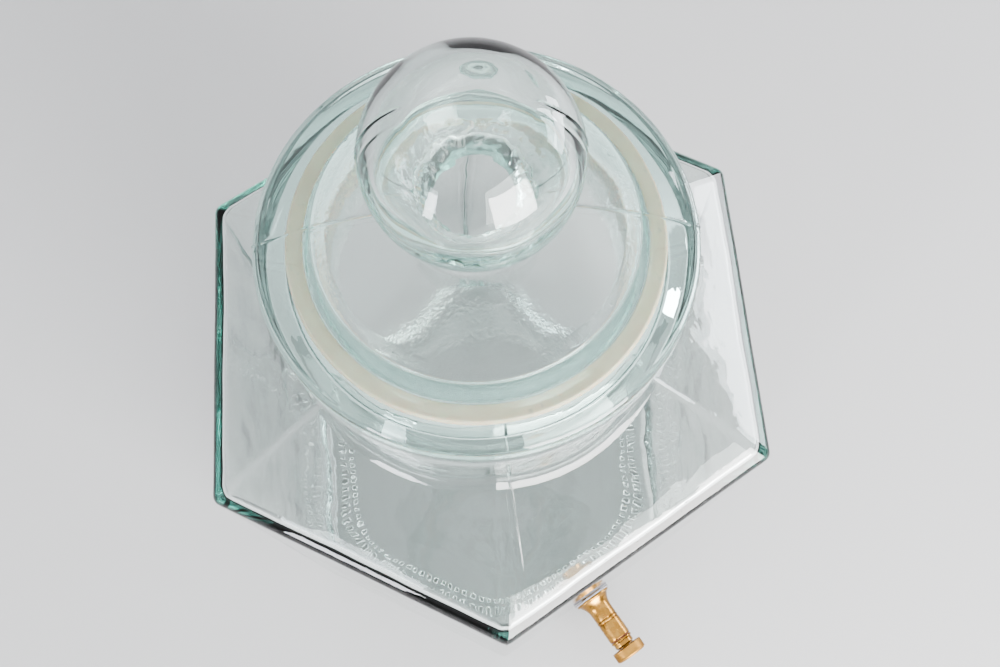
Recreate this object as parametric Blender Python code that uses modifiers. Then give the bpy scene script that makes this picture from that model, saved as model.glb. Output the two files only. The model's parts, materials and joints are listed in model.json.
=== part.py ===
"""Hexagonal glass drinks dispenser with a domed, ball-knobbed lid and a screw-down brass tap.

Metres, +Z up. The jar is drawn about its own vertical axis, and the face with the tap looks along -Y. At the end
all of it moves back a little, so that the origin is the middle of the whole footprint, tap included, on the surface
that the jar stands on. The tap's own pieces are drawn along a tilted axis, +Z out of the wall and +Y upwards.
"""
import math

import bmesh
import bpy
from mathutils import Matrix

# ---------------------------------------------------------------- driving dimensions
SHOULDER_RADIUS = 0.150      # across corners / 2, where the walls meet the shoulder
BASE_RADIUS = 0.138          # across corners / 2, at the base
SHOULDER_HEIGHT = 0.286
SHOULDER_SLOPE = math.radians(32.3)
WALL = 0.006                 # glass thickness of walls and shoulder
FLOOR = 0.010                # top of the jar's floor above the table
EDGE_ROUND = 0.005           # rounding of the jar's outer edges
PUNT_RADIUS = 0.110          # recess under the base, across corners / 2
PUNT_DEPTH = 0.003

NECK_RADIUS = 0.0835
NECK_WALL = 0.006
RIM_TOP = 0.3773
RIM_RADIUS = 0.088
RIM_HEIGHT = 0.014           # height of the thick rim bead
MOUTH_RADIUS = 0.071         # bore of the rim bead

LID_RADIUS = 0.089
LID_SEAT = 0.3803            # flat underside of the lid
LID_EDGE_HEIGHT = 0.0095
DOME_RADIUS = 0.1526         # radius of the dome's sphere
DOME_CENTRE = 0.2646         # height of its centre
LID_GLASS = 0.0045
PLUG_RADIUS = 0.0664
PLUG_WALL = 0.0049
PLUG_DEPTH = 0.0143
BALL_RADIUS = 0.0395
BALL_CENTRE = 0.4535
BALL_GLASS = 0.0038
KNOB_NECK_RADIUS = 0.024

SEAL_OUTER = 0.078
SEAL_THICKNESS = 0.0024
SEAL_SLEEVE = 0.0032
SEAL_DEPTH = 0.010

TAP_HEIGHT = 0.0345          # tap axis above the table, at the wall's outer face
TAP_HOLE = 0.008             # hole in the glass
SHANK_RADIUS = 0.0074
SHANK_LENGTH = 0.020         # behind the wall's outer face
WATERWAY = 0.0032
FLANGE_RADIUS = 0.0122
WASHER_RADIUS = 0.0131
BARREL_RADIUS = 0.0076
CHAMBER_RADIUS = 0.0057
PACKING_RADIUS = 0.0044
BONNET_NECK_RADIUS = 0.0067
COLLAR_RADIUS = 0.0060
STEM_RADIUS = 0.0024
THREAD_RADIUS = 0.0036
JUMPER_RADIUS = 0.0050
JUMPER_PIN_RADIUS = 0.0013
PILOT_RADIUS = 0.0009        # blind holes for the small screws
SCREW_HEAD_RADIUS = 0.0032
KNOB_RADIUS = 0.0107
NUT_RADIUS = 0.0127          # across corners / 2
SPOUT_RADIUS = 0.0042
SPOUT_BORE = 0.0030
SPOUT_DROP = 0.018           # below the tap's axis

# Places along the tap's axis, measured out from the wall's outer face.
FLANGE_BACK = 0.0018
FLANGE_FRONT = 0.0031
FLARE_END = 0.0125
BAND_PLACE = 0.019
SEAT_PLACE = 0.020
SPOUT_PLACE = 0.0262
JUMPER_BACK = 0.0231
JUMPER_FRONT = 0.0250
BONNET_TAIL = 0.0285
THREAD_FRONT = 0.0309
BARREL_END = 0.033
BONNET_HEAD = 0.0338
PACKING_SEAT = 0.0350
GLAND_TAIL = 0.0372
BONNET_END = 0.0384
GLAND_FRONT = 0.0393
KNOB_BACK = 0.0398
STEM_END = 0.0450
KNOB_FRONT = 0.0467

GAP = 0.0003                 # play between neighbouring pieces
BIG_STEPS = 48               # facets round the glass
SMALL_STEPS = 26             # facets round the tap's pieces
CORNERS = 6

# ---------------------------------------------------------------- derived geometry
FLAT = math.cos(math.pi / CORNERS)
SLOPE_TAN = math.tan(SHOULDER_SLOPE)
WALL_LEAN = math.atan(FLAT * (SHOULDER_RADIUS - BASE_RADIUS) / SHOULDER_HEIGHT)


def wall_distance(height):
    """Distance of the outer face from the jar's axis at a height."""
    return FLAT * BASE_RADIUS + height * math.tan(WALL_LEAN)


# ---------------------------------------------------------------- scene helpers
def clear_scene():
    for old in list(bpy.data.objects):
        bpy.data.objects.remove(old, do_unlink=True)


def make_collection(name):
    group = bpy.data.collections.new(name)
    bpy.context.scene.collection.children.link(group)
    return group


def make_material(name, colour, roughness, metallic=0.0, alpha=1.0):
    material = bpy.data.materials.new(name)
    material.use_nodes = True
    shader = material.node_tree.nodes["Principled BSDF"]
    shader.inputs["Base Color"].default_value = (*colour, 1.0)
    shader.inputs["Roughness"].default_value = roughness
    shader.inputs["Metallic"].default_value = metallic
    shader.inputs["Alpha"].default_value = alpha
    return material


def add_object(name, mesh, group, material=None, parent=None):
    piece = bpy.data.objects.new(name, mesh)
    group.objects.link(piece)
    if material:
        mesh.materials.append(material)
    if parent:
        piece.parent = parent
    return piece


def round_shading(piece, angle=35.0):
    piece.data.shade_smooth()
    piece.data.set_sharp_from_angle(angle=math.radians(angle))


def arc(centre_r, centre_z, radius, start, end, count):
    """Points of an arc in the (radius, height) plane, angles in degrees from the +radius direction."""
    points = []
    for index in range(count + 1):
        angle = math.radians(start + (end - start) * index / count)
        points.append((centre_r + radius * math.cos(angle), centre_z + radius * math.sin(angle)))
    return points


def profile_mesh(name, points, closed):
    mesh = bpy.data.meshes.new(name)
    edges = [(index, index + 1) for index in range(len(points) - 1)]
    if closed:
        edges.append((len(points) - 1, 0))
    mesh.from_pydata([(radius, 0.0, height) for radius, height in points], edges, [])
    return mesh


def turned(name, points, group, material=None, parent=None, steps=SMALL_STEPS, closed=True):
    """Turn a profile about Z. It runs down the outer side, and back up the inner side where there is one."""
    piece = add_object(name, profile_mesh(name, points, closed), group, material, parent)
    screw = piece.modifiers.new("Turn", "SCREW")
    screw.steps = steps
    screw.render_steps = steps
    screw.use_merge_vertices = True
    screw.merge_threshold = 0.00001
    return piece


def solid_profile(points):
    """Profile of a piece that is solid to its axis: the points between its top and bottom centres."""
    return [(0.0, points[0][1])] + points + [(0.0, points[-1][1])]


def bake(piece):
    """Replace an object's modifiers by the mesh they make."""
    graph = bpy.context.evaluated_depsgraph_get()
    mesh = bpy.data.meshes.new_from_object(piece.evaluated_get(graph))
    piece.modifiers.clear()
    piece.data = mesh
    round_shading(piece)


def boolean(piece, other, operation):
    modifier = piece.modifiers.new(operation.title(), "BOOLEAN")
    modifier.operation = operation
    modifier.object = other


def as_cutter(piece):
    piece.hide_render = True
    piece.display_type = "WIRE"
    return piece


# ---------------------------------------------------------------- hexagonal solids
def hexagon_solid(name, levels, rounding, group, material=None):
    """Stack of hexagons given as (corner radius, height), one flat side towards -Y, with rounded edges."""
    work = bmesh.new()
    base_radius, base_height = levels[0]
    radius, height = levels[1]
    bmesh.ops.create_cone(
        work, cap_ends=True, segments=CORNERS, radius1=base_radius, radius2=radius, depth=height - base_height)
    half_side = Matrix.Rotation(math.pi / CORNERS, 3, "Z")
    bmesh.ops.rotate(work, verts=work.verts, cent=(0.0, 0.0, 0.0), matrix=half_side)
    bmesh.ops.translate(work, verts=work.verts, vec=(0.0, 0.0, (base_height + height) / 2))
    top = max(work.faces, key=lambda face: face.calc_center_median().z)
    for next_radius, next_height in levels[2:]:
        top = bmesh.ops.extrude_discrete_faces(work, faces=[top])["faces"][0]
        size = next_radius / radius
        bmesh.ops.scale(work, verts=top.verts, vec=(size, size, 1.0))
        bmesh.ops.translate(work, verts=top.verts, vec=(0.0, 0.0, next_height - height))
        radius, height = next_radius, next_height
    bmesh.ops.recalc_face_normals(work, faces=work.faces)
    mesh = bpy.data.meshes.new(name)
    work.to_mesh(mesh)
    work.free()
    piece = add_object(name, mesh, group, material)
    bevel = piece.modifiers.new("Rounded edges", "BEVEL")
    bevel.width = rounding
    bevel.segments = 3
    bevel.limit_method = "ANGLE"
    bevel.angle_limit = math.radians(10)
    return piece


# ---------------------------------------------------------------- glass jar
def jar_body(group, cutters, glass):
    """Six walls and a six-sided shoulder, joined to a round neck with a thick rim, and hollowed out."""
    crown_radius = NECK_RADIUS - 0.0015
    crown_height = SHOULDER_HEIGHT + FLAT * (SHOULDER_RADIUS - crown_radius) * SLOPE_TAN
    levels = [
        (BASE_RADIUS, 0.0),
        (SHOULDER_RADIUS, SHOULDER_HEIGHT),
        (crown_radius, crown_height),
    ]
    jar = hexagon_solid("jar_body", levels, EDGE_ROUND, group, glass)

    neck_foot = SHOULDER_HEIGHT + 0.010
    bead = RIM_HEIGHT / 2
    bead_centre = RIM_TOP - bead
    rim = arc(RIM_RADIUS - bead, bead_centre, bead, 90, -60, 8)
    neck_points = rim + [
        (NECK_RADIUS + 0.0006, bead_centre - 1.3 * bead),
        (NECK_RADIUS, bead_centre - 2.0 * bead),
        (NECK_RADIUS, neck_foot),
    ]
    neck = as_cutter(turned("neck_form", solid_profile(neck_points), cutters, steps=BIG_STEPS, closed=False))

    inner_wall = WALL / FLAT
    inner_shoulder = SHOULDER_HEIGHT - WALL / math.cos(SHOULDER_SLOPE) + WALL * SLOPE_TAN
    inner_edge_radius = wall_distance(inner_shoulder) / FLAT - inner_wall
    inner_crown_radius = NECK_RADIUS - NECK_WALL - 0.0005
    inner_crown = inner_shoulder + FLAT * (inner_edge_radius - inner_crown_radius) * SLOPE_TAN
    hollow_levels = [
        (wall_distance(FLOOR) / FLAT - inner_wall, FLOOR),
        (inner_edge_radius, inner_shoulder),
        (inner_crown_radius, inner_crown),
    ]
    hollow = as_cutter(hexagon_solid("hollow_form", hollow_levels, EDGE_ROUND - 0.001, cutters))

    neck_bore = NECK_RADIUS - NECK_WALL
    shelf = RIM_TOP - RIM_HEIGHT - 0.003
    mouth_points = [
        (MOUTH_RADIUS + 0.0015, RIM_TOP + 0.002),
        (MOUTH_RADIUS + 0.0015, RIM_TOP - 0.0005),
        (MOUTH_RADIUS, RIM_TOP - 0.0025),
        (MOUTH_RADIUS, shelf + 0.002),
        (MOUTH_RADIUS + 0.0015, shelf - 0.001),
        (neck_bore - 0.001, shelf - 0.006),
        (neck_bore, shelf - 0.010),
        (neck_bore, inner_shoulder + 0.012),
    ]
    bore = as_cutter(turned("mouth_form", solid_profile(mouth_points), cutters, steps=BIG_STEPS, closed=False))
    bore.rotation_euler.z = math.pi / BIG_STEPS

    punt_levels = [(PUNT_RADIUS, -0.010), (PUNT_RADIUS, PUNT_DEPTH)]
    punt = as_cutter(hexagon_solid("punt_form", punt_levels, 0.0022, cutters))

    hole_points = [(TAP_HOLE, 0.010), (TAP_HOLE, -0.016)]
    hole = as_cutter(turned("tap_hole_form", solid_profile(hole_points), cutters, closed=False))
    place_on_tap_axis(hole)

    boolean(jar, neck, "UNION")
    for form in (hollow, bore, punt, hole):
        boolean(jar, form, "DIFFERENCE")
    bake(jar)
    return jar


# ---------------------------------------------------------------- lid and seal
def dome_height(radius, inset=0.0):
    """Height of the dome's surface at a radius; inset moves it in by a glass thickness."""
    return DOME_CENTRE + math.sqrt((DOME_RADIUS - inset) ** 2 - radius ** 2)


def dome_points(start, end, count, inset=0.0):
    radii = [start + (end - start) * index / count for index in range(count + 1)]
    return [(radius, dome_height(radius, inset)) for radius in radii]


def lid_glass(group, glass):
    """Dome, plug skirt and hollow ball knob, one piece of glass that is open below."""
    ball_meet = -math.degrees(math.acos(KNOB_NECK_RADIUS / BALL_RADIUS))
    ball = arc(0.0, BALL_CENTRE, BALL_RADIUS, 90, ball_meet, 10)
    ball[0] = (0.0, BALL_CENTRE + BALL_RADIUS)
    foot_round = 0.007
    foot_z = dome_height(KNOB_NECK_RADIUS + foot_round) + foot_round
    foot = arc(KNOB_NECK_RADIUS + foot_round, foot_z, foot_round, 180, 258, 3)
    edge_round = 0.0025
    edge_top = LID_SEAT + LID_EDGE_HEIGHT
    shoulder = dome_points(0.040, LID_RADIUS - edge_round, 4)
    edge = arc(LID_RADIUS - edge_round, edge_top - edge_round, edge_round, 55, 0, 2)
    edge += arc(LID_RADIUS - edge_round, LID_SEAT + edge_round, edge_round, 0, -90, 2)
    plug_end = LID_SEAT - PLUG_DEPTH
    plug_round = PLUG_WALL / 2
    plug = [(PLUG_RADIUS + 0.0008, LID_SEAT), (PLUG_RADIUS, LID_SEAT - 0.0008)]
    plug += arc(PLUG_RADIUS - plug_round, plug_end + plug_round, plug_round, 0, -180, 4)
    skirt_inner = PLUG_RADIUS - PLUG_WALL
    inner_dome = dome_points(skirt_inner - 0.003, KNOB_NECK_RADIUS + 0.003, 4, LID_GLASS)
    corner = [(skirt_inner, dome_height(skirt_inner, LID_GLASS) - 0.004)]
    inner_neck = KNOB_NECK_RADIUS - BALL_GLASS
    inner_ball_radius = BALL_RADIUS - BALL_GLASS
    inner_meet = -math.degrees(math.acos(inner_neck / inner_ball_radius))
    throat = [(inner_neck, dome_height(inner_neck, LID_GLASS) + 0.003)]
    inner_ball = arc(0.0, BALL_CENTRE, inner_ball_radius, inner_meet, 90, 8)
    inner_ball[-1] = (0.0, BALL_CENTRE + inner_ball_radius)
    points = ball + foot + shoulder + edge + plug + corner + inner_dome + throat + inner_ball
    lid = turned("lid_glass", points, group, glass, steps=BIG_STEPS, closed=False)
    bake(lid)
    return lid


def lid_seal_ring(group, silicone):
    """Flat flange on the jar's rim with a sleeve round the plug."""
    inner = PLUG_RADIUS + GAP
    sleeve = inner + SEAL_SLEEVE
    top = LID_SEAT - GAP
    low = top - SEAL_THICKNESS
    points = [
        (inner + 0.0009, top),
        (SEAL_OUTER - 0.0007, top),
        (SEAL_OUTER, top - 0.0007),
        (SEAL_OUTER, low),
        (sleeve, low),
        (sleeve, low - SEAL_DEPTH),
        (inner, low - SEAL_DEPTH),
        (inner, top - 0.0009),
    ]
    seal = turned("lid_seal_ring", points, group, silicone, steps=BIG_STEPS)
    bake(seal)
    return seal


# ---------------------------------------------------------------- tap
def tap_place():
    """Point on the wall's outer face where the tap's axis passes, and the tilt that lays +Z along the axis."""
    return (0.0, -wall_distance(TAP_HEIGHT), TAP_HEIGHT), (math.pi / 2 + WALL_LEAN, 0.0, 0.0)


def place_on_tap_axis(piece):
    piece.location, piece.rotation_euler = tap_place()


def point_down(piece):
    """Lay a piece of the tap across the axis at the spout, its -Z downwards."""
    piece.location = (0.0, 0.0, SPOUT_PLACE)
    piece.rotation_euler = (-math.pi / 2, 0.0, 0.0)


def tap_turning(name, points, group, material, axis, closed=True):
    piece = turned(name, points, group, material, axis, closed=closed)
    bake(piece)
    return piece


def ring(name, group, material, axis, inner, outer, start, end):
    """Plain washer between two places along the tap's axis."""
    points = [(inner, end), (outer, end), (outer, start), (inner, start)]
    return tap_turning(name, points, group, material, axis)


def washers(group, axis, brass, rubber):
    inside = -WALL
    rubber_end = inside - 0.0024
    metal_end = rubber_end - 0.0013
    ring("outer_washer", group, rubber, axis, TAP_HOLE + GAP, WASHER_RADIUS, GAP, FLANGE_BACK - GAP)
    ring("inner_washer", group, rubber, axis, SHANK_RADIUS + GAP, WASHER_RADIUS, rubber_end, inside - GAP)
    ring(
        "inner_metal_washer", group, brass, axis, SHANK_RADIUS + GAP, WASHER_RADIUS - 0.0006,
        metal_end, rubber_end - GAP)
    return metal_end - GAP


def flare_points(count=6):
    """Concave curve from the barrel back to the flange."""
    root = FLANGE_RADIUS - 0.0014
    points = []
    for index in range(count + 1):
        part = index / count
        radius = BARREL_RADIUS + (root - BARREL_RADIUS) * part ** 2.4
        points.append((radius, FLARE_END + (FLANGE_FRONT - FLARE_END) * part))
    return points


def band_points():
    """Small raised band between two grooves."""
    groove = BARREL_RADIUS - 0.0005
    crest = BARREL_RADIUS + 0.0002
    return [
        (BARREL_RADIUS, BAND_PLACE + 0.0014),
        (groove, BAND_PLACE + 0.0010),
        (crest, BAND_PLACE + 0.0003),
        (crest, BAND_PLACE - 0.0003),
        (groove, BAND_PLACE - 0.0010),
        (BARREL_RADIUS, BAND_PLACE - 0.0014),
    ]


def spigot_body(group, cutters, brass, axis):
    """Flange, flare and barrel, with the shank behind and the valve seat and chamber inside."""
    chamfer = 0.0004
    seat_step = 0.0010
    outer = [
        (CHAMBER_RADIUS, BARREL_END),
        (BARREL_RADIUS - chamfer, BARREL_END),
        (BARREL_RADIUS, BARREL_END - chamfer),
    ]
    outer += band_points() + flare_points()
    outer += [
        (FLANGE_RADIUS, FLANGE_FRONT),
        (FLANGE_RADIUS, FLANGE_BACK),
        (SHANK_RADIUS, FLANGE_BACK),
        (SHANK_RADIUS, chamfer - SHANK_LENGTH),
        (SHANK_RADIUS - chamfer, -SHANK_LENGTH),
    ]
    inner = [
        (WATERWAY, -SHANK_LENGTH),
        (WATERWAY, SEAT_PLACE),
        (WATERWAY + seat_step, SEAT_PLACE),
        (WATERWAY + seat_step, SEAT_PLACE - seat_step),
        (CHAMBER_RADIUS, SEAT_PLACE - seat_step),
    ]
    body = turned("spigot_body", outer + inner, group, brass, axis)
    port_points = [(PACKING_RADIUS, -0.0040), (PACKING_RADIUS, -0.0120)]
    port = as_cutter(turned("outlet_form", solid_profile(port_points), cutters, None, axis, closed=False))
    point_down(port)
    boolean(body, port, "DIFFERENCE")
    bake(body)


def spout(group, brass, axis):
    """Short nozzle that points down; its collar seats under the barrel. Drawn along its own +Z, upwards."""
    tail_top = -CHAMBER_RADIUS - 0.0007
    tail_radius = PACKING_RADIUS - 0.0002
    collar_top = -BARREL_RADIUS - 0.0004
    lip = 0.0004
    points = [
        (SPOUT_BORE, tail_top),
        (tail_radius, tail_top),
        (tail_radius, collar_top),
        (SPOUT_RADIUS + 0.0012, collar_top),
        (SPOUT_RADIUS + 0.0012, collar_top - 0.0016),
        (SPOUT_RADIUS + lip, collar_top - 0.0024),
        (SPOUT_RADIUS, 0.0006 - SPOUT_DROP),
        (SPOUT_RADIUS + lip, -SPOUT_DROP),
        (SPOUT_BORE + lip, -SPOUT_DROP),
    ]
    nozzle = turned("spout", points, group, brass, axis)
    point_down(nozzle)
    bake(nozzle)


def lock_nut(group, cutters, brass, axis, seat):
    """Hexagon nut on the shank, inside the jar, against the metal washer."""
    thickness = 0.0062
    bore_radius = SHANK_RADIUS + GAP
    bore_points = [(bore_radius, seat + GAP), (bore_radius, seat - thickness - GAP)]
    bore = as_cutter(turned("nut_bore_form", solid_profile(bore_points), cutters, None, axis, closed=False))
    work = bmesh.new()
    bmesh.ops.create_cone(
        work, cap_ends=True, segments=CORNERS, radius1=NUT_RADIUS, radius2=NUT_RADIUS, depth=thickness)
    bmesh.ops.translate(work, verts=work.verts, vec=(0.0, 0.0, seat - thickness / 2))
    mesh = bpy.data.meshes.new("lock_nut")
    work.to_mesh(mesh)
    work.free()
    nut = add_object("lock_nut", mesh, group, brass, axis)
    bevel = nut.modifiers.new("Rounded edges", "BEVEL")
    bevel.width = 0.0006
    bevel.segments = 2
    boolean(nut, bore, "DIFFERENCE")
    bake(nut)


def bonnet(group, brass, fibre, axis):
    """Screws into the barrel on its fibre ring, and carries the spindle's thread and the packing."""
    seal_back = BARREL_END + GAP / 2
    ring("bonnet_seal", group, fibre, axis, CHAMBER_RADIUS, BARREL_RADIUS - GAP, seal_back, BONNET_HEAD - GAP)
    head_depth = 0.0013
    chamfer = 0.0004
    points = [
        (PACKING_RADIUS, BONNET_END),
        (BONNET_NECK_RADIUS - chamfer, BONNET_END),
        (BONNET_NECK_RADIUS, BONNET_END - chamfer),
        (BONNET_NECK_RADIUS, BONNET_HEAD + head_depth + chamfer),
        (BARREL_RADIUS, BONNET_HEAD + head_depth),
        (BARREL_RADIUS, BONNET_HEAD),
        (CHAMBER_RADIUS - GAP, BONNET_HEAD),
        (CHAMBER_RADIUS - GAP, BONNET_TAIL),
        (THREAD_RADIUS + GAP, BONNET_TAIL),
        (THREAD_RADIUS + GAP, PACKING_SEAT),
        (PACKING_RADIUS, PACKING_SEAT),
    ]
    tap_turning("bonnet", points, group, brass, axis)


def gland(group, brass, fibre, axis):
    """Packing ring round the spindle, and the nut that presses it; its collar is the neck behind the knob."""
    bore = STEM_RADIUS + GAP
    tail_radius = PACKING_RADIUS - GAP
    collar_back = BONNET_END + GAP
    ring("stem_packing", group, fibre, axis, bore, tail_radius, PACKING_SEAT + GAP, GLAND_TAIL - GAP)
    points = [
        (bore, GLAND_FRONT),
        (COLLAR_RADIUS - 0.0002, GLAND_FRONT),
        (COLLAR_RADIUS, GLAND_FRONT - 0.0002),
        (COLLAR_RADIUS, collar_back),
        (tail_radius, collar_back),
        (tail_radius, GLAND_TAIL),
        (bore, GLAND_TAIL),
    ]
    tap_turning("gland_nut", points, group, brass, axis)


def stem(group, brass, axis):
    """Spindle: thread behind, plain shaft through the packing, a pocket at each end."""
    back = JUMPER_FRONT + 2 * GAP
    pocket = JUMPER_PIN_RADIUS + 0.0004
    pocket_end = back + 0.0040
    bevel = 0.0006
    points = [
        (0.0, KNOB_BACK + bevel),
        (PILOT_RADIUS, KNOB_BACK + bevel),
        (PILOT_RADIUS, STEM_END),
        (STEM_RADIUS, STEM_END),
        (STEM_RADIUS, THREAD_FRONT + bevel),
        (THREAD_RADIUS, THREAD_FRONT),
        (THREAD_RADIUS, back + bevel),
        (THREAD_RADIUS - bevel, back),
        (pocket, back),
        (pocket, pocket_end),
        (0.0, pocket_end),
    ]
    tap_turning("stem", points, group, brass, axis, closed=False)


def jumper(group, brass, rubber, axis):
    """Valve disc with its rubber washer and screw; its pin sits loosely in the spindle's end."""
    pin_end = JUMPER_FRONT + 0.0040
    hole_end = JUMPER_FRONT + 0.0018
    chamfer = 0.0002
    points = [
        (0.0, pin_end),
        (JUMPER_PIN_RADIUS, pin_end),
        (JUMPER_PIN_RADIUS, JUMPER_FRONT),
        (JUMPER_RADIUS - chamfer, JUMPER_FRONT),
        (JUMPER_RADIUS, JUMPER_FRONT - chamfer),
        (JUMPER_RADIUS, JUMPER_BACK),
        (PILOT_RADIUS, JUMPER_BACK),
        (PILOT_RADIUS, hole_end),
        (0.0, hole_end),
    ]
    tap_turning("jumper", points, group, brass, axis, closed=False)
    ring("seat_washer", group, rubber, axis, PILOT_RADIUS, JUMPER_RADIUS - GAP, SEAT_PLACE + GAP, JUMPER_BACK - GAP)
    shank = PILOT_RADIUS - GAP
    head_back = SEAT_PLACE - 0.0012
    head_front = SEAT_PLACE
    points = [
        (0.0, hole_end - GAP),
        (shank, hole_end - GAP),
        (shank, head_front),
        (SCREW_HEAD_RADIUS * 0.6, head_front),
        (SCREW_HEAD_RADIUS * 0.6, head_back + chamfer),
        (SCREW_HEAD_RADIUS * 0.6 - chamfer, head_back),
        (0.0, head_back),
    ]
    tap_turning("seat_washer_screw", points, group, brass, axis, closed=False)


def knob(group, brass, axis):
    """Round knob with a socket for the spindle, and the screw sunk into its front."""
    chamfer = 0.0011
    sunk = KNOB_FRONT - 0.0016
    recess = SCREW_HEAD_RADIUS + 0.0005
    points = [
        (recess, KNOB_FRONT),
        (KNOB_RADIUS - chamfer, KNOB_FRONT),
        (KNOB_RADIUS, KNOB_FRONT - chamfer),
        (KNOB_RADIUS, KNOB_BACK + 0.0004),
        (KNOB_RADIUS - 0.0004, KNOB_BACK),
        (STEM_RADIUS + GAP, KNOB_BACK),
        (STEM_RADIUS + GAP, sunk),
        (recess, sunk),
    ]
    tap_turning("knob", points, group, brass, axis)
    shank = PILOT_RADIUS - GAP
    head_top = KNOB_FRONT - GAP
    points = [
        (0.0, head_top),
        (SCREW_HEAD_RADIUS - GAP, head_top),
        (SCREW_HEAD_RADIUS, head_top - GAP),
        (SCREW_HEAD_RADIUS, sunk + GAP),
        (shank, sunk + GAP),
        (shank, KNOB_BACK + 2 * chamfer),
        (0.0, KNOB_BACK + 2 * chamfer),
    ]
    tap_turning("knob_screw", points, group, brass, axis, closed=False)


def tap(group, cutters, brass, rubber, fibre):
    axis = bpy.data.objects.new("tap_axis", None)
    group.objects.link(axis)
    place_on_tap_axis(axis)
    nut_seat = washers(group, axis, brass, rubber)
    spigot_body(group, cutters, brass, axis)
    spout(group, brass, axis)
    lock_nut(group, cutters, brass, axis, nut_seat)
    bonnet(group, brass, fibre, axis)
    gland(group, brass, fibre, axis)
    stem(group, brass, axis)
    jumper(group, brass, rubber, axis)
    knob(group, brass, axis)


def centre_footprint(group, cutters):
    """Hang everything on the jar's axis, and set that axis back by half the difference of front and back reach."""
    front_reach = wall_distance(TAP_HEIGHT) + KNOB_FRONT
    back_reach = wall_distance(SHOULDER_HEIGHT)
    axis = bpy.data.objects.new("jar_axis", None)
    for piece in list(group.objects) + list(cutters.objects):
        if piece.parent is None:
            piece.parent = axis
    group.objects.link(axis)
    axis.location.y = (front_reach - back_reach) / 2


def main():
    clear_scene()
    group = make_collection("drinks_dispenser")
    cutters = make_collection("cutters")
    glass = make_material("green_tinted_glass", (0.80, 0.90, 0.86), 0.04, alpha=0.35)
    silicone = make_material("cream_silicone", (0.78, 0.76, 0.70), 0.55)
    brass = make_material("aged_brass", (0.72, 0.52, 0.28), 0.30, metallic=1.0)
    rubber = make_material("grey_rubber", (0.30, 0.28, 0.29), 0.60)
    fibre = make_material("red_fibre", (0.36, 0.14, 0.10), 0.70)
    jar_body(group, cutters, glass)
    lid_seal_ring(group, silicone)
    lid_glass(group, glass)
    tap(group, cutters, brass, rubber, fibre)
    centre_footprint(group, cutters)


main()
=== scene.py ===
"""Looks of a six-sided glass drinks dispenser: jar, lid with a hollow ball for a handle, seal and brass tap.

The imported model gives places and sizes. Each piece that shows is drawn again here as a fine mesh on the same
axes. Metres, +Z up. Glass and turned pieces are skins over loops of points; a loop runs anticlockwise seen
from +Z.
"""

import json
import math

import bmesh
import bpy
import numpy as np
from mathutils import Matrix, Vector, noise


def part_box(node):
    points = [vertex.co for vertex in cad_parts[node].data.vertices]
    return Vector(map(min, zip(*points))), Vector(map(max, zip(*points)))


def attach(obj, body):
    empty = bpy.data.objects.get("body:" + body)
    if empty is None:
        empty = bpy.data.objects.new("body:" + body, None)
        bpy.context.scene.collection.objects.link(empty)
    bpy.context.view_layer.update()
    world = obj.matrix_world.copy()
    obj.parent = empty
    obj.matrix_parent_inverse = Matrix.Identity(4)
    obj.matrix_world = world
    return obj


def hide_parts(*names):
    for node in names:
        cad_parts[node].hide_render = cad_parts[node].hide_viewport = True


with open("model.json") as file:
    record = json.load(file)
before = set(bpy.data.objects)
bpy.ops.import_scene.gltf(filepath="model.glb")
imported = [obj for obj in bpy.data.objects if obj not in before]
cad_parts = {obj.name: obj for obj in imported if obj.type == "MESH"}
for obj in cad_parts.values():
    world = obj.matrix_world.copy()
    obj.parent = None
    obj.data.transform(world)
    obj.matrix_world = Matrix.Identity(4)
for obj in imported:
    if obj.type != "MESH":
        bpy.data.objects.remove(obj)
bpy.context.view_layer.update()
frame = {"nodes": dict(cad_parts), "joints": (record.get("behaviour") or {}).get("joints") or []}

# ---------------- places from the frame
JAR_LOW, JAR_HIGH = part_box("jar_body")
LID_LOW, LID_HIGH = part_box("lid_glass")
SEAL_LOW, SEAL_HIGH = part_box("lid_seal_ring")
KNOB_TURN = next(joint for joint in frame["joints"] if joint["name"] == "knob_turn")
TAP_POINT = Vector(KNOB_TURN["pos_m"])
TAP_AXIS = Vector(KNOB_TURN["axis"]).normalized()
AXIS = Vector(((JAR_LOW.x + JAR_HIGH.x) / 2, (JAR_LOW.y + JAR_HIGH.y) / 2, 0.0))
GAP = 0.0003
TURN = 2 * math.pi

# ---------------- jar
COS30 = math.cos(math.radians(30))
SHOULDER_APOTHEM = 0.150 * COS30
BASE_APOTHEM = 0.138 * COS30
SHOULDER_HEIGHT = 0.286
SLOPE = math.radians(32.3)
WALL = 0.006
FLOOR = 0.01
FLOOR_RISE = 0.0012          # the floor's middle stands this much above its edge
CORNER_ROUND = 0.0048        # the six upright edges, outside
INNER_CORNER_ROUND = 0.016
HIP_ROUND = 0.0015           # the six slanting edges, where they reach the neck
FOOT_INSET = 0.0088          # from the outline of the foot to the start of the flat underside
OUTER_FOOT_ROUND = 0.006
INNER_FOOT_ROUND = 0.013
SHOULDER_ROUND = 0.007
NECK_RADIUS = 0.0835
NECK_WALL = 0.006
OUTER_NECK_ROUND = 0.009     # where the neck meets the shoulder
INNER_NECK_ROUND = 0.01
RIM_TOP = JAR_HIGH.z
RIM_RADIUS = 0.088
RIM_HEIGHT = 0.014
RIM_FLAT = 0.006             # width of the inner half of the rim's top
MOUTH_RADIUS = 0.07
MOUTH_ROUND = 0.0018
SHELF_DROP = 0.003           # the mouth's wall goes on this far below the rim, and then widens
INSIDE_WAVES = 0.0003        # no mould touched the inside, so its waves are the deeper ones
OUTSIDE_WAVES = 0.00006
SECTOR_COLUMNS = 64
COLUMN_CROWDING = 0.72       # 0 is even steps; near 1 they bunch up at the corners
TAP_HOLE = 0.008

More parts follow.
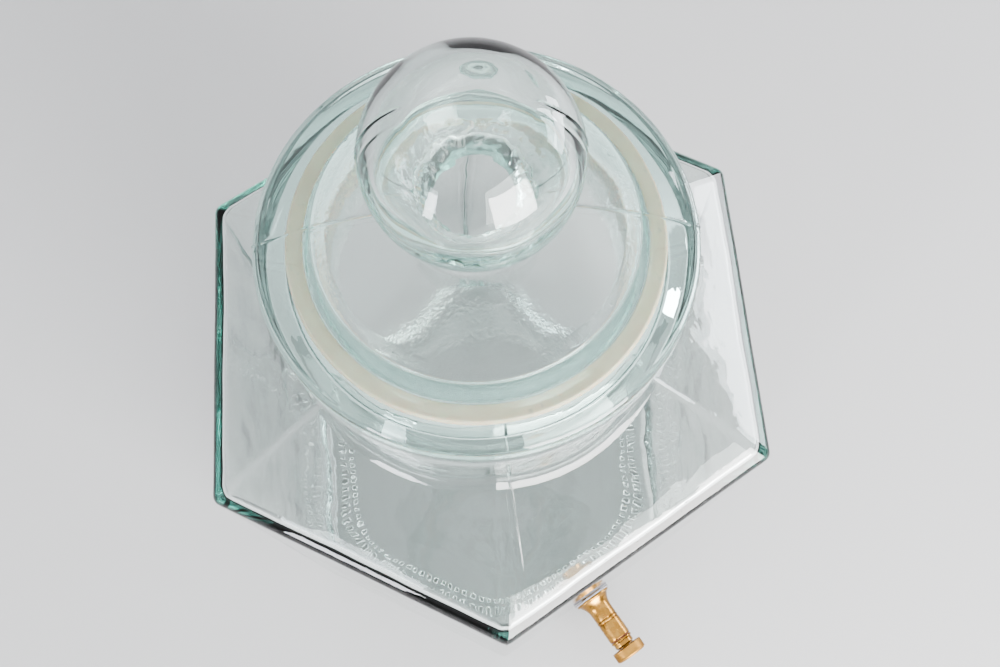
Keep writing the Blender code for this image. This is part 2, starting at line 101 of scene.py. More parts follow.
# ---------------- underside of the jar
PUNT_DEPTH = 0.003
PUNT_RING = 0.05             # radius of a shallow ring round the middle
PUNT_RING_DEPTH = 0.0006
PUNT_RING_WIDTH = 0.0012
PUNT_STEP = 0.022            # the punt comes down to the ticks over this distance
TICK_RING_APOTHEM = 0.104
TICK_RING_ROUND = 0.06
TICK_ROW_STEP = 0.0085       # from the outer row of ticks to the inner one
TICKS = 116
TICK_HEIGHT = 0.0013
TICK_SLOPE = 0.0006
TICK_SHAPE = (0.0, 0.0, 0.75, 1.0, 1.0, 0.75, 0.0, 0.0)      # heights over one tick and the gap beside it
TICK_GRAIN = 0.5
INNER_TICK_HALF = 0.0015     # half lengths of the ticks
OUTER_TICK_HALF = 0.003

# ---------------- parting lines
SEAM_HEIGHT = 0.0004
SEAM_WIDTH = 0.00045
SEAM_ANGLES = (math.radians(-120), math.radians(60))
NECK_SEAM_SHIFT = math.radians(4.5)      # the jar's lines leave the corners on their way up to the neck
LID_SEAM_ANGLES = (math.radians(-32), math.radians(-32) + math.pi)

# ---------------- lid and seal
LID_RADIUS = (LID_HIGH.x - LID_LOW.x) / 2
LID_SEAT = SEAL_HIGH.z + GAP
LID_EDGE_HEIGHT = 0.0095
LID_GLASS = 0.0042
DOME_RADIUS = 0.1526
BALL_RADIUS = 0.0395
BALL_CENTRE = LID_HIGH.z - BALL_RADIUS
DOME_CENTRE = BALL_CENTRE - 0.1889
BALL_FOOT_ROUND = 0.006      # fillet between ball and dome
CAVITY_RADIUS = 0.034        # hollow of the ball
CAVITY_RISE = 0.0012
THROAT_ROUND = 0.009
PLUG_RADIUS = 0.0642
PLUG_FOOT = 0.062            # the plug narrows below the seal
PLUG_WALL = 0.0045
PLUG_END = LID_LOW.z - 0.009
FLARE_RADIUS = 0.064         # the hollow of the dome widens above the plug
SKIRT_ROUND = 0.005
STIPPLE_REACH = 0.006        # how far the stipple runs up inside the plug
GRAINY_RADIUS = 0.0585       # the underside is rougher outside this radius
LID_COLUMNS = 324
INNER_LID_WAVES = 0.00022
OUTER_LID_WAVES = 0.00004
BUBBLE_DEPTH = 0.0014        # lumps low in the hollow of the ball
BUBBLE_SCALE = 300
BUBBLE_START = 0.017         # below the ball's centre
BUBBLE_FADE = 0.009
STIPPLE_DEPTH = 0.0003
STIPPLE_SCALE = 430
SEAL_RADIUS = 0.072
SEAL_FLANGE = 0.0024
SEAL_WAVES = 0.00006

# ---------------- tap, places measured out along its axis
SHANK_RADIUS = 0.0074
SHANK_LENGTH = 0.02
THREAD_PITCH = 0.0018
THREAD_DEPTH = 0.00045
FLANGE_RADIUS = 0.0122
FLANGE_BACK = 0.0018
FLANGE_FRONT = 0.0031
FLARE_END = 0.0125
FLARE_POWER = 2.4            # how fast the flare sweeps in to the barrel
BARREL_RADIUS = 0.0076
BARREL_END = 0.033
BAND_PLACE = 0.019
CHAMBER_RADIUS = 0.0057
CHAMBER_BACK = 0.019
SEAT_RADIUS = 0.0042
WATERWAY_RADIUS = 0.0032
SPOUT_PLACE = 0.0262
SPOUT_RADIUS = 0.0042
SPOUT_BORE = 0.003
SPOUT_LENGTH = 0.018         # from the tap's axis down to the lip
BONNET_BACK = 0.0285
BONNET_RIM = 0.0338
BONNET_FRONT = 0.0384
BONNET_RADIUS = 0.0067
GLAND_FRONT = 0.0393
STEM_RADIUS = 0.0024
KNOB_RADIUS = 0.0107
KNOB_BACK = 0.0398
KNOB_FRONT = 0.0467
KNOB_BEVEL = 0.0012
KNOB_RECESS = 0.0016
KNURLS = 56
KNURL_DEPTH = 0.00042
WASHER_RADIUS = 0.0131
OUTER_WASHER = 0.0015        # thicknesses
INNER_WASHER = 0.0024
METAL_WASHER = 0.001
NUT_RADIUS = 0.0127
NUT_THICKNESS = 0.0062
TAP_COLUMNS = 168

# ---------------- camera and room
CAMERA_AZIMUTH = math.radians(-34.05)
CAMERA_ELEVATION = math.radians(70.22)
CAMERA_ROLL = math.radians(-0.6335)
CAMERA_DISTANCE = 0.6606
CAMERA_LOOK_HEIGHT = 0.150
CAMERA_RIGHT = 0.0085
CAMERA_UP = 0.0424
CAMERA_LENS = 39.6
LIGHT_AIM = 0.25             # height that the lights face
WORLD_LOW = 0.38
WORLD_HIGH = 1.9


# ---------------- paths
def unit(vectors):
    """The same directions, each of length 1."""
    return vectors / np.maximum(np.linalg.norm(vectors, axis=1, keepdims=True), 1e-12)


def rounded_path(corners):
    """Rows (r, z) along a path with rounded corners.

    A corner is (r, z, rounding, steps); r and z are numbers, or arrays with one value for each column.
    """
    width = max(np.size(value) for corner in corners for value in corner[:2])
    points = [np.stack([np.broadcast_to(c[0], width), np.broadcast_to(c[1], width)], axis=1) for c in corners]
    rows = [points[0]]
    for index in range(1, len(corners) - 1):
        rounding, steps = corners[index][2:]
        here = points[index]
        if rounding == 0:
            rows.append(here)
            continue
        back = unit(points[index - 1] - here)
        ahead = unit(points[index + 1] - here)
        half = np.arccos(np.clip((back * ahead).sum(axis=1), -1, 1)) / 2
        centre = here + unit(back + ahead) * (rounding / np.sin(half))[:, None]
        reach = (rounding / np.tan(half))[:, None]
        first = here + back * reach - centre
        last = here + ahead * reach - centre
        across = first[:, 0] * last[:, 1] - first[:, 1] * last[:, 0]
        turn = np.arctan2(across, (first * last).sum(axis=1))
        for step in range(steps + 1):
            angle = turn * step / steps
            cos, sin = np.cos(angle), np.sin(angle)
            rows.append(centre + np.stack(
                [first[:, 0] * cos - first[:, 1] * sin, first[:, 0] * sin + first[:, 1] * cos], axis=1))
    rows.append(points[-1])
    return rows


def filled(rows, spacing):
    """The same rows with more between them, so that none is further than spacing from the next."""
    result = [rows[0]]
    for before, after in zip(rows, rows[1:]):
        length = np.linalg.norm(after - before, axis=1).max()
        count = max(1, math.ceil(length / spacing - 1e-6))
        for step in range(1, count + 1):
            result.append(before + (after - before) * step / count)
    return result


def arc_corners(centre_r, centre_z, radius, start, end, steps):
    """Corners of a path along an arc; the angles are in degrees."""
    angles = np.radians(np.linspace(start, end, steps + 1))
    return [(centre_r + radius * math.cos(a), centre_z + radius * math.sin(a), 0, 0) for a in angles]


def closed_turning(corners):
    """A closed path has its first corner rounded too, so it starts in the middle of its last side."""
    first, last = corners[0], corners[-1]
    middle = ((first[0] + last[0]) / 2, (first[1] + last[1]) / 2, 0, 0)
    return [middle] + corners + [middle]


def wave_field(points, wavelength, seed):
    """Smooth uneven field of about -1 to 1 in space, from sine waves that run all ways."""
    waves = 14
    random = np.random.default_rng(seed)
    ways = unit(random.normal(size=(waves, 3)))
    lengths = wavelength * random.uniform(0.7, 1.6, waves)
    phases = random.uniform(0, TURN, waves)
    total = np.zeros(len(points))
    for way, length, phase in zip(ways, lengths, phases):
        total += np.sin(points @ way * (TURN / length) + phase)
    return total / math.sqrt(waves)


# ---------------- skins
class Skin:
    """Closed mesh over loops of points, with a grain value at each point."""

    def __init__(self):
        self.points = []
        self.grains = []
        self.faces = []
        self.last = None
        self.first = None
        self.waiting = None
        self.count = 0

    def add_points(self, points, grain):
        start = self.count
        self.points.append(points)
        self.grains.append(np.broadcast_to(grain, len(points)))
        self.count += len(points)
        return start

    def loop(self, points, angles, grain=0.0):
        start = self.add_points(points, grain)
        here = (start, angles)
        if self.last is not None:
            self.join(self.last, here)
        if self.first is None:
            self.first = here
        self.last = here

    def rows(self, rows, angles):
        """A loop for each row, where a row has one (r, z) for each column."""
        for row in rows:
            self.loop(ring_points(row[:, 0], row[:, 1], angles), angles)

    def join(self, one, two):
        """Faces between two loops, as squares where both have the same columns."""
        start, angles = one
        start_two, angles_two = two
        size = len(angles)
        if size != len(angles_two):
            self.zip_up(one, two)
            return
        for i in range(size):
            n = (i + 1) % size
            self.faces.append((start + i, start + n, start_two + n, start_two + i))

    def zip_up(self, one, two):
        """Triangles between two loops of unlike columns; each step goes along the loop that lags behind."""
        start, angles = one
        start_two, angles_two = two
        size, size_two = len(angles), len(angles_two)
        ahead = [*angles[1:], angles[0] + TURN, math.inf]
        ahead_two = [*angles_two[1:], angles_two[0] + TURN, math.inf]
        i = j = 0
        while i < size or j < size_two:
            a = start + i % size
            b = start_two + j % size_two
            if ahead[i] <= ahead_two[j]:
                self.faces.append((a, start + (i + 1) % size, b))
                i += 1
            else:
                self.faces.append((a, start_two + (j + 1) % size_two, b))
                j += 1

    def pole(self, point, at_start):
        """Closes the skin with a fan to one point; at_start when the next loop follows it."""
        start = self.add_points(np.array([point]), 0.0)
        if at_start:
            self.waiting = start
            return
        base, angles = self.last
        size = len(angles)
        for i in range(size):
            self.faces.append((base + i, base + (i + 1) % size, start))

    def start_fan(self):
        """Fan from the point that was waiting for the first loop."""
        base, angles = self.first
        size = len(angles)
        for i in range(size):
            self.faces.append((self.waiting, base + (i + 1) % size, base + i))

    def wrap(self):
        """Joins the last loop to the first, for a piece with a hole through it."""
        self.join(self.last, self.first)

    def piece(self, name, matrix, material):
        """The finished skin as an object."""
        mesh = bpy.data.meshes.new(name)
        mesh.from_pydata(np.concatenate(self.points).tolist(), [], self.faces)
        mesh.transform(matrix)
        grain = mesh.attributes.new("grain", "FLOAT", "POINT")
        grain.data.foreach_set("value", np.concatenate(self.grains).astype(np.float32))
        mesh.shade_smooth()
        mesh.validate()
        return place(name, mesh, material)


def add_object(name, data):
    thing = bpy.data.objects.new(name, data)
    bpy.context.scene.collection.objects.link(thing)
    return thing


def place(name, mesh, material):
    mesh.materials.append(material)
    return add_object(name, mesh)


def stand_in(piece, node, body):
    """The piece is shown in place of a CAD node and rides on a body."""
    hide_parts(node)
    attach(piece, body)


def even_steps(count):
    return np.arange(count) * (TURN / count)


def ring_points(radii, heights, angles):
    """One point a column; radii and heights are numbers, or arrays with one value for each column."""
    heights = np.broadcast_to(heights, len(angles))
    return np.stack([radii * np.cos(angles), radii * np.sin(angles), heights], axis=1)


def turned_profile(corners, spacing):
    """Points (r, z) of a turned piece, which way the path runs at each, and whether it closes."""
    rows = filled(rounded_path(corners), spacing)
    closed = np.allclose(rows[0], rows[-1])
    if closed:
        rows = rows[:-1]
    profile = np.array([row[0] for row in rows])
    if closed:
        along = np.roll(profile, -1, axis=0) - np.roll(profile, 1, axis=0)
    else:
        along = np.gradient(profile, axis=0)
    return profile, unit(along), closed


def turned(name, corners, material, matrix, columns=TAP_COLUMNS, spacing=0.002, relief=None):
    """Turned piece: the path runs up the outside and down the inside, and closes if it ends where it starts.

    columns is their number or their angles. relief(points, angles, radius, height) gives how far each point
    of a loop moves outwards, and its grain.
    """
    profile, along, closed = turned_profile(corners, spacing)
    angles = even_steps(columns) if np.ndim(columns) == 0 else columns
    skin = Skin()
    for index, (radius, height) in enumerate(profile):
        if radius < 1e-7:
            skin.pole((0.0, 0.0, height), at_start=index == 0)
            continue
        grain = 0.0
        points = ring_points(radius, height, angles)
        if relief is not None:
            outwards = ring_points(along[index, 1], -along[index, 0], angles)
            move, grain = relief(points, angles, radius, height)
            points = points + outwards * np.asarray(move).reshape(-1, 1)
        skin.loop(points, angles, grain)
    if closed:
        skin.wrap()
    elif skin.waiting is not None:
        skin.start_fan()
    return skin.piece(name, matrix, material)


# ---------------- material nodes
class Nodes:
    """Short forms for building a node material."""

    def __init__(self, name):
        self.material = bpy.data.materials.new(name)
        self.material.use_nodes = True
        self.tree = self.material.node_tree
        self.shader = self.tree.nodes["Principled BSDF"]
        self.output = self.tree.nodes["Material Output"]
        self.where = self.tree.nodes.new("ShaderNodeTexCoord").outputs["Object"]

    def feed(self, socket, value):
        if isinstance(value, bpy.types.NodeSocket):
            self.tree.links.new(value, socket)
        else:
            socket.default_value = value

    def new(self, kind, inputs, **settings):
        """New node; inputs gives a value or a link for each socket, by name or by number."""
        node = self.tree.nodes.new(kind)
        for key, value in settings.items():
            setattr(node, key, value)
        for key, value in inputs.items():
            self.feed(node.inputs[key], value)
        return node

    def noise(self, scale, detail=2.0, roughness=0.5, distortion=0.0):
        inputs = {"Vector": self.where, "Scale": scale, "Detail": detail}
        inputs |= {"Roughness": roughness, "Distortion": distortion}
        return self.new("ShaderNodeTexNoise", inputs).outputs["Fac"]

    def remap(self, value, low, high, to_low=0.0, to_high=1.0):
        inputs = {"Value": value, "From Min": low, "From Max": high, "To Min": to_low, "To Max": to_high}
        return self.new("ShaderNodeMapRange", inputs).outputs["Result"]

    def math(self, operation, one, two):
        return self.new("ShaderNodeMath", {0: one, 1: two}, operation=operation).outputs[0]

    def blend(self, factor, one, two):
        inputs = {"Factor": factor, "A": one, "B": two}
        return self.new("ShaderNodeMix", inputs, data_type="RGBA").outputs["Result"]

    def bump(self, height, distance, strength=1.0, below=None):
        """Normal roughened by a height, on top of another one where below is given."""
        inputs = {"Height": height, "Distance": distance, "Strength": strength}
        if below is not None:
            inputs["Normal"] = below
        return self.new("ShaderNodeBump", inputs).outputs["Normal"]

    def set(self, **inputs):
        """Values or links of the shader's sockets."""
        for key, value in inputs.items():
            self.feed(self.shader.inputs[key.replace("_", " ")], value)


def linear(red, green, blue):
    return (red, green, blue, 1.0)


def glass_material(name, ripple, grain_depth, tint):
    """Clear glass with a green body colour, an uneven surface, smears, specks and the mould's grain."""
    n = Nodes(name)
    n.set(Base_Color=linear(0.985, 1.0, 0.993), Transmission_Weight=1.0, IOR=1.52)
    smears = n.noise(9.0, detail=5.0, roughness=0.62, distortion=1.4)
    specks = n.remap(n.noise(620.0, detail=1.0), 0.71, 0.80)
    haze = n.remap(smears, 0.50, 0.80, 0.004, 0.055)
    grain = n.new("ShaderNodeAttribute", {}, attribute_name="grain").outputs["Fac"]
    rough = n.math("ADD", haze, n.math("MULTIPLY", specks, 0.18))
    n.set(Roughness=n.math("ADD", rough, n.math("MULTIPLY", grain, 0.22)))
    slow = n.bump(n.noise(24.0, detail=1.5, distortion=0.5), ripple)
    fine = n.bump(n.noise(130.0, detail=2.0), ripple * 0.10, below=slow)
    peel = n.math("MULTIPLY", n.noise(520.0, detail=2.5, roughness=0.6), grain)
    n.set(Normal=n.bump(peel, grain_depth, below=fine))
    body = n.new("ShaderNodeVolumeAbsorption", {"Color": linear(0.42, 0.81, 0.745), "Density": tint})
    n.feed(n.output.inputs["Volume"], body.outputs["Volume"])
    return n.material


def along_tap(n):
    """Distance along the tap's axis, from a point in the piece's own space."""
    return n.new("ShaderNodeVectorMath", {0: n.where, 1: TAP_AXIS}, operation="DOT_PRODUCT").outputs["Value"]


def brass_material(name, satin):
    """Lacquer-free brass gone golden brown, with turning lines, dull patches and painted shade in the hollows.
    """
    n = Nodes(name)
    tone = n.noise(150.0, detail=4.0, roughness=0.65)
    warm = n.blend(n.remap(tone, 0.32, 0.70), linear(0.33, 0.168, 0.042), linear(0.46, 0.262, 0.08))
    spots = n.remap(n.noise(900.0, detail=2.0), 0.60, 0.74)
    worn = n.blend(n.math("MULTIPLY", spots, 0.45), warm, linear(0.24, 0.12, 0.035))
    # painted shade: hollow places, found by pointiness, are darkened towards dark brown as if in shadow
    hollow = n.remap(n.new("ShaderNodeNewGeometry", {}).outputs["Pointiness"], 0.44, 0.50, 0.75, 0.0)
    n.set(Base_Color=n.blend(hollow, worn, linear(0.20, 0.105, 0.035)), Metallic=1.0)
    inputs = {"W": along_tap(n), "Scale": 5200.0, "Detail": 3.0}
    lines = n.new("ShaderNodeTexNoise", inputs, noise_dimensions="1D")
    low, high = (0.30, 0.52) if satin else (0.16, 0.36)
    n.set(Roughness=n.remap(tone, 0.30, 0.72, low, high))
    turned_lines = n.bump(lines.outputs["Fac"], 0.00003, strength=0.55)
    dents = n.bump(n.noise(420.0, detail=3.0), 0.0001, strength=0.5, below=turned_lines)
    n.set(Normal=dents)
    return n.material


def silicone_material():
    """Cream silicone that has yellowed a little, dull and faintly mottled."""
    n = Nodes("cream_silicone")
    mottle = n.noise(70.0, detail=5.0, roughness=0.6)
    cream = n.blend(n.remap(mottle, 0.30, 0.72), linear(0.86, 0.64, 0.48), linear(0.97, 0.77, 0.60))
    stains = n.remap(n.noise(260.0, detail=3.0), 0.64, 0.80, 0.0, 0.5)
    n.set(Base_Color=n.blend(stains, cream, linear(0.36, 0.30, 0.21)))
    n.set(Roughness=n.remap(mottle, 0.3, 0.7, 0.42, 0.62), Subsurface_Weight=0.25, Subsurface_Scale=0.002)
    n.set(Normal=n.bump(n.noise(900.0, detail=3.0), 0.00006))
    return n.material


def rubber_material(name, dark, light):
    """Dull moulded rubber or fibre with a powdery bloom."""
    n = Nodes(name)
    bloom = n.noise(300.0, detail=5.0, roughness=0.7)
    n.set(Base_Color=n.blend(n.remap(bloom, 0.35, 0.70), dark, light))
    n.set(Roughness=n.remap(bloom, 0.3, 0.7, 0.55, 0.85))
    n.set(Normal=n.bump(n.noise(1500.0, detail=3.0), 0.00008))
    return n.material


# ---------------- jar
def seam_columns(seam, steps):
    """Angles of a few columns close together on each side of a parting line; the steps are in degrees."""
    return [seam + math.radians(step) for step in (*(-step for step in reversed(steps)), 0.0, *steps)]


def turns(angles):
    """The angles in order, each once, within one turn."""
    return np.unique(np.round(np.mod(angles, TURN), 5))


def column_angles():
    """Angles of the jar's columns, closer together at the six corners and at the parting lines."""
    sectors = np.arange(6 * SECTOR_COLUMNS) / SECTOR_COLUMNS
    sectors -= COLUMN_CROWDING * np.sin(TURN * sectors) / TURN
    angles = list(math.radians(60) * sectors)
    for seam in SEAM_ANGLES:
        angles += seam_columns(seam + NECK_SEAM_SHIFT, (0.15, 0.3, 0.6))
    return turns(angles)


def off_flat(angles):
    """Angle from the middle of the nearest flat side, and what is left to the nearest corner."""
    phi = np.mod(angles, math.radians(60)) - math.radians(30)
    return phi, math.radians(30) - np.abs(phi)


def hexagon_radius(angles, apothem, rounding):
    """Distance from the axis to the outline of a hexagon with rounded corners."""
    phi, delta = off_flat(angles)
    flat = apothem / np.cos(phi)
    centre = (apothem - rounding) / COS30
    inside = np.maximum(rounding ** 2 - (centre * np.sin(delta)) ** 2, 0)
    corner = centre * np.cos(delta) + np.sqrt(inside)
    return np.where(flat * np.sin(delta) < rounding / 2, corner, flat)


def apothem_through(angles, radius, rounding):
    """Apothem of the rounded hexagon that passes a given distance from the axis in each direction."""
    phi, delta = off_flat(angles)
    inside = np.maximum(rounding ** 2 - (radius * np.sin(delta)) ** 2, 0)
    centre = radius * np.cos(delta) - np.sqrt(inside)
    corner = centre * COS30 + rounding
    return np.where(radius * np.sin(delta) < rounding / 2, corner, radius * np.cos(phi))


def ridge_at(angles, seam, radii):
    """Height of one parting line at each column."""
    away = np.abs((angles - seam + math.pi) % TURN - math.pi) * radii
    return SEAM_HEIGHT * np.exp(-((away / SEAM_WIDTH) ** 2))


def jar_ridge(angles, radii, heights):
    """Height of the jar's parting lines at each column; they end below the rim."""
    up_slope = np.clip((heights - SHOULDER_HEIGHT) / 0.02, 0, 1)
    below_rim = np.clip((RIM_TOP - RIM_HEIGHT - heights) / 0.002, 0, 1)
    return below_rim * sum(ridge_at(angles, seam + NECK_SEAM_SHIFT * up_slope, radii) for seam in SEAM_ANGLES)


def even_angles(count):
    """Angles that step evenly along the ring of ticks."""
    fine = np.linspace(0, TURN, 7201)
    radii = hexagon_radius(fine, TICK_RING_APOTHEM, TICK_RING_ROUND)
    points = np.stack([radii * np.cos(fine), radii * np.sin(fine)], axis=1)
    walked = np.concatenate([[0], np.cumsum(np.linalg.norm(np.diff(points, axis=0), axis=1))])
    return np.interp(np.arange(count) * walked[-1] / count, walked, fine)


def add_tick_rows(skin):
    """Two rows of short radial ridges that the jar stands on, worked from the inner row outwards."""
    angles = even_angles(TICKS * len(TICK_SHAPE))
    ring = hexagon_radius(angles, TICK_RING_APOTHEM, TICK_RING_ROUND)
    across = np.tile(TICK_SHAPE, TICKS)
    margin = 3 * TICK_SLOPE
    skin.loop(ring_points(ring - TICK_ROW_STEP - INNER_TICK_HALF - margin, TICK_HEIGHT, angles), angles)
    for middle, half in ((-TICK_ROW_STEP, INNER_TICK_HALF), (0.0, OUTER_TICK_HALF)):
        steps = ((-half - TICK_SLOPE, 0), (-half, 0.75), (-half + TICK_SLOPE, 1))
        steps += tuple((-offset, height) for offset, height in reversed(steps))
        for offset, height in steps:
            raised = height * across
            points = ring_points(ring + middle + offset, TICK_HEIGHT * (1 - raised), angles)
            skin.loop(points, angles, TICK_GRAIN * raised)
    skin.loop(ring_points(ring + OUTER_TICK_HALF + margin, TICK_HEIGHT, angles), angles)


def add_underside(skin, angles):
    """From the middle of the punt out to the start of the foot."""
    skin.pole((0.0, 0.0, PUNT_DEPTH), at_start=True)
    radii = [0.012, 0.026, 0.040]
    radii += [PUNT_RING + 0.001 * step for step in range(-3, 4)]
    for radius in radii:
        groove = PUNT_RING_DEPTH * math.exp(-(((radius - PUNT_RING) / PUNT_RING_WIDTH) ** 2))
        skin.loop(ring_points(radius, PUNT_DEPTH - groove, angles), angles)
    ring = hexagon_radius(angles, TICK_RING_APOTHEM, TICK_RING_ROUND)
    edge = ring - TICK_ROW_STEP - INNER_TICK_HALF - 0.005
    skin.loop(ring_points((radii[-1] + edge - PUNT_STEP) / 2, PUNT_DEPTH, angles), angles)
    step_down = [
        (edge - PUNT_STEP, PUNT_DEPTH, 0, 0),
        (edge - PUNT_STEP + 0.01, PUNT_DEPTH, 0.04, 5),
        (edge, TICK_HEIGHT, 0.012, 4),
        (edge + 0.0015, TICK_HEIGHT, 0, 0),
    ]
    skin.rows(rounded_path(step_down), angles)
    add_tick_rows(skin)
    skin.loop(ring_points(ring + OUTER_TICK_HALF + 0.0032, TICK_HEIGHT, angles), angles)


def jar_outside_rows(angles):
    """From the foot up to the underside of the rim."""
    foot = hexagon_radius(angles, BASE_APOTHEM, CORNER_ROUND)
    shoulder = hexagon_radius(angles, SHOULDER_APOTHEM, CORNER_ROUND)
    neck_apothem = apothem_through(angles, NECK_RADIUS, HIP_ROUND)
    neck_foot = SHOULDER_HEIGHT + (SHOULDER_APOTHEM - neck_apothem) * math.tan(SLOPE)
    bead = RIM_HEIGHT / 2
    corners = [
        (foot - FOOT_INSET, TICK_HEIGHT, 0, 0),
        (foot, TICK_HEIGHT, OUTER_FOOT_ROUND, 6),
        (shoulder, SHOULDER_HEIGHT, SHOULDER_ROUND, 9),
        (NECK_RADIUS, neck_foot, OUTER_NECK_ROUND, 8),
        (NECK_RADIUS, RIM_TOP - RIM_HEIGHT - 0.001, 0.002, 4),
        (RIM_RADIUS, RIM_TOP - RIM_HEIGHT + 0.0005, bead * 0.80, 10),
        (RIM_RADIUS, RIM_TOP, bead * 0.72, 10),
        (MOUTH_RADIUS + RIM_FLAT, RIM_TOP, 0, 0),
    ]
    return rounded_path(corners)


def jar_inside_rows(angles):
    """From the top of the rim down to the floor."""
    inner_neck = NECK_RADIUS - NECK_WALL
    rise = math.tan(SLOPE)
    lean = (SHOULDER_APOTHEM - BASE_APOTHEM) / SHOULDER_HEIGHT
    edge_height = SHOULDER_HEIGHT - WALL * (1 / math.cos(SLOPE) - rise) / (1 + lean * rise)
    edge_apothem = SHOULDER_APOTHEM - lean * (SHOULDER_HEIGHT - edge_height) - WALL
    foot_apothem = BASE_APOTHEM + lean * FLOOR - WALL
    neck_apothem = apothem_through(angles, inner_neck, HIP_ROUND)
    neck_foot = edge_height + (edge_apothem - neck_apothem) * rise
    shelf = RIM_TOP - RIM_HEIGHT - SHELF_DROP
    edge = hexagon_radius(angles, edge_apothem, CORNER_ROUND)
    foot = hexagon_radius(angles, foot_apothem, INNER_CORNER_ROUND)
    corners = [
        (MOUTH_RADIUS + RIM_FLAT, RIM_TOP, 0, 0),
        (MOUTH_RADIUS, RIM_TOP, MOUTH_ROUND, 6),
        (MOUTH_RADIUS, shelf - 0.001, 0.004, 6),
        (inner_neck, shelf - 0.01, 0.005, 6),
        (inner_neck, neck_foot, INNER_NECK_ROUND, 8),
        (edge, edge_height, SHOULDER_ROUND, 7),
        (foot, FLOOR, INNER_FOOT_ROUND, 8),
        (foot * 0.80, FLOOR, 0, 0),
    ]
    return rounded_path(corners)


def uneven(points, depth):
    """Points moved out and in by slow waves in the glass."""
    wave = wave_field(points, 0.055, seed=3) + 0.35 * wave_field(points, 0.018, seed=5)
    return points + unit(points * (1, 1, 0)) * (wave * depth)[:, None]


def add_floor(skin, edge, angles):
    """The jar's floor, from the row at its edge in to the middle; its outline rounds off on the way."""
    for part in (0.86, 0.72, 0.58, 0.44, 0.30, 0.16, 0.06):
        height = edge[:, 1] + FLOOR_RISE * (1 - part)
        radii = part * edge[:, 0] * part + (1 - part) * part * edge[:, 0].mean()
        points = ring_points(radii, height, angles)
        points[:, 2] += 0.0004 * wave_field(points, 0.05, seed=8)
        skin.loop(points, angles)
    skin.pole((0.0, 0.0, FLOOR + FLOOR_RISE), at_start=False)


def jar_skin():
    """From the middle of the underside out, up, over the rim and down to the middle of the floor."""
    angles = column_angles()
    skin = Skin()
    add_underside(skin, angles)
    for row in filled(jar_outside_rows(angles), 0.016):
        points = uneven(ring_points(row[:, 0], row[:, 1], angles), OUTSIDE_WAVES)
        radii = np.linalg.norm(points[:, :2], axis=1)
        points[:, :2] *= (1 + jar_ridge(angles, radii, points[:, 2]) / radii)[:, None]
        skin.loop(points, angles)
    inside = filled(jar_inside_rows(angles), 0.013)
    mouth_rows = 16
    for index, row in enumerate(inside[1:]):
        depth = INSIDE_WAVES if index > mouth_rows else OUTSIDE_WAVES
        skin.loop(uneven(ring_points(row[:, 0], row[:, 1], angles), depth), angles)
    add_floor(skin, inside[-1], angles)
    skin.start_fan()
    return skin


def tap_matrix():
    """Places a piece drawn along +Z on the tap's axis, its +Y as near up as it can be."""
    up = Vector((0.0, 0.0, 1.0))
    up = (up - TAP_AXIS * up.dot(TAP_AXIS)).normalized()
    side = up.cross(TAP_AXIS)
    matrix = Matrix((side, up, TAP_AXIS)).transposed().to_4x4()
    matrix.translation = TAP_POINT
    return matrix


def cut(piece, cutter):
    """Boolean difference, applied, and the cutter removed."""
    modifier = piece.modifiers.new("cut", "BOOLEAN")
    modifier.operation = "DIFFERENCE"
    modifier.solver = "EXACT"
    modifier.object = cutter
    graph = bpy.context.evaluated_depsgraph_get()
    mesh = bpy.data.meshes.new_from_object(piece.evaluated_get(graph))
    piece.modifiers.clear()
    piece.data = mesh
    bpy.data.objects.remove(cutter)


def build_jar(glass):
    """The jar with a round hole for the tap's shank."""
    jar = jar_skin().piece("jar_glass", Matrix.Translation(AXIS), glass)
    back, front = -2.5 * WALL, 1.5 * WALL
    corners = [(0.0, back, 0, 0), (TAP_HOLE, back, 0, 0), (TAP_HOLE, front, 0, 0), (0.0, front, 0, 0)]
    cut(jar, turned("tap_hole_form", corners, glass, tap_matrix(), columns=72, spacing=0.1))
    jar.data.set_sharp_from_angle(angle=math.radians(35))
    stand_in(jar, "jar_body", "jar")


# ---------------- lid and seal
def dome_corners(start, end, count, inset):
    """Corners of a path over the dome between two radii, below its outside by the inset."""
    radii = np.linspace(start, end, count + 1)
    return [(r, DOME_CENTRE + math.sqrt((DOME_RADIUS - inset) ** 2 - r ** 2), 0, 0) for r in radii]


def foot_circle(ball, ball_centre, dome, rounding):
    """Centre of the fillet that touches both a ball and the dome, and its first and last angle in degrees."""
    drop = ball_centre - DOME_CENTRE
    to_ball = ball + rounding
    to_dome = dome + rounding
    below = (drop ** 2 + to_ball ** 2 - to_dome ** 2) / (2 * drop)
    centre_r, centre_z = math.sqrt(to_ball ** 2 - below ** 2), ball_centre - below
    ball_turn = math.degrees(math.atan2(ball_centre - centre_z, -centre_r))
    dome_turn = math.degrees(math.atan2(DOME_CENTRE - centre_z, -centre_r)) + 360
    return centre_r, centre_z, ball_turn, dome_turn


